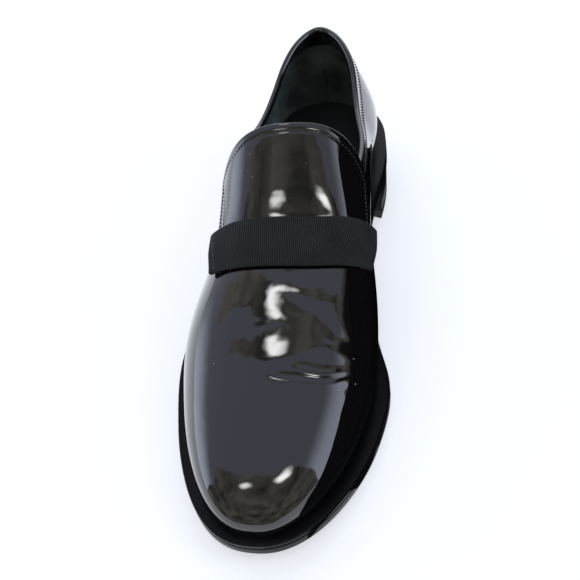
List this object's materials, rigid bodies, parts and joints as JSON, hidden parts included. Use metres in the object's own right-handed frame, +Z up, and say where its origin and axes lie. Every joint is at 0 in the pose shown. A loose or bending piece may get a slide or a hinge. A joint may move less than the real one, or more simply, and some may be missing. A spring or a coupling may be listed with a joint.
{
  "type": "patent leather loafer",
  "caption": "Right slip-on dress shoe in black patent leather with a high stitched tongue, a ribbed silk band across the instep, a piped collar, a welted sole and a low heel.",
  "frame": {"origin": "under the middle of the whole shoe, on the floor that it stands on", "axes": "+Z up, +Y towards the heel, -Y towards the toe, +X towards the wearer's other foot (the inner side)"},
  "size_m": [0.1068, 0.2978, 0.094],
  "materials": {
    "patent_leather": "black patent leather, mirror gloss",
    "grosgrain": "black ribbed silk ribbon, matt",
    "lining_leather": "black lining leather, matt",
    "sole_leather": "black dyed sole edge, satin",
    "heel_rubber": "black rubber, matt"
  },
  "bodies": {
    "root": {"upper": "patent_leather", "tongue": "patent_leather", "instep_band": "grosgrain", "band_fold_inner": "grosgrain", "band_fold_outer": "grosgrain", "collar_piping": "patent_leather", "insole": "lining_leather", "welt": "sole_leather", "outsole": "sole_leather", "heel_stack": "sole_leather", "heel_top_piece": "heel_rubber"}
  },
  "joints": []
}
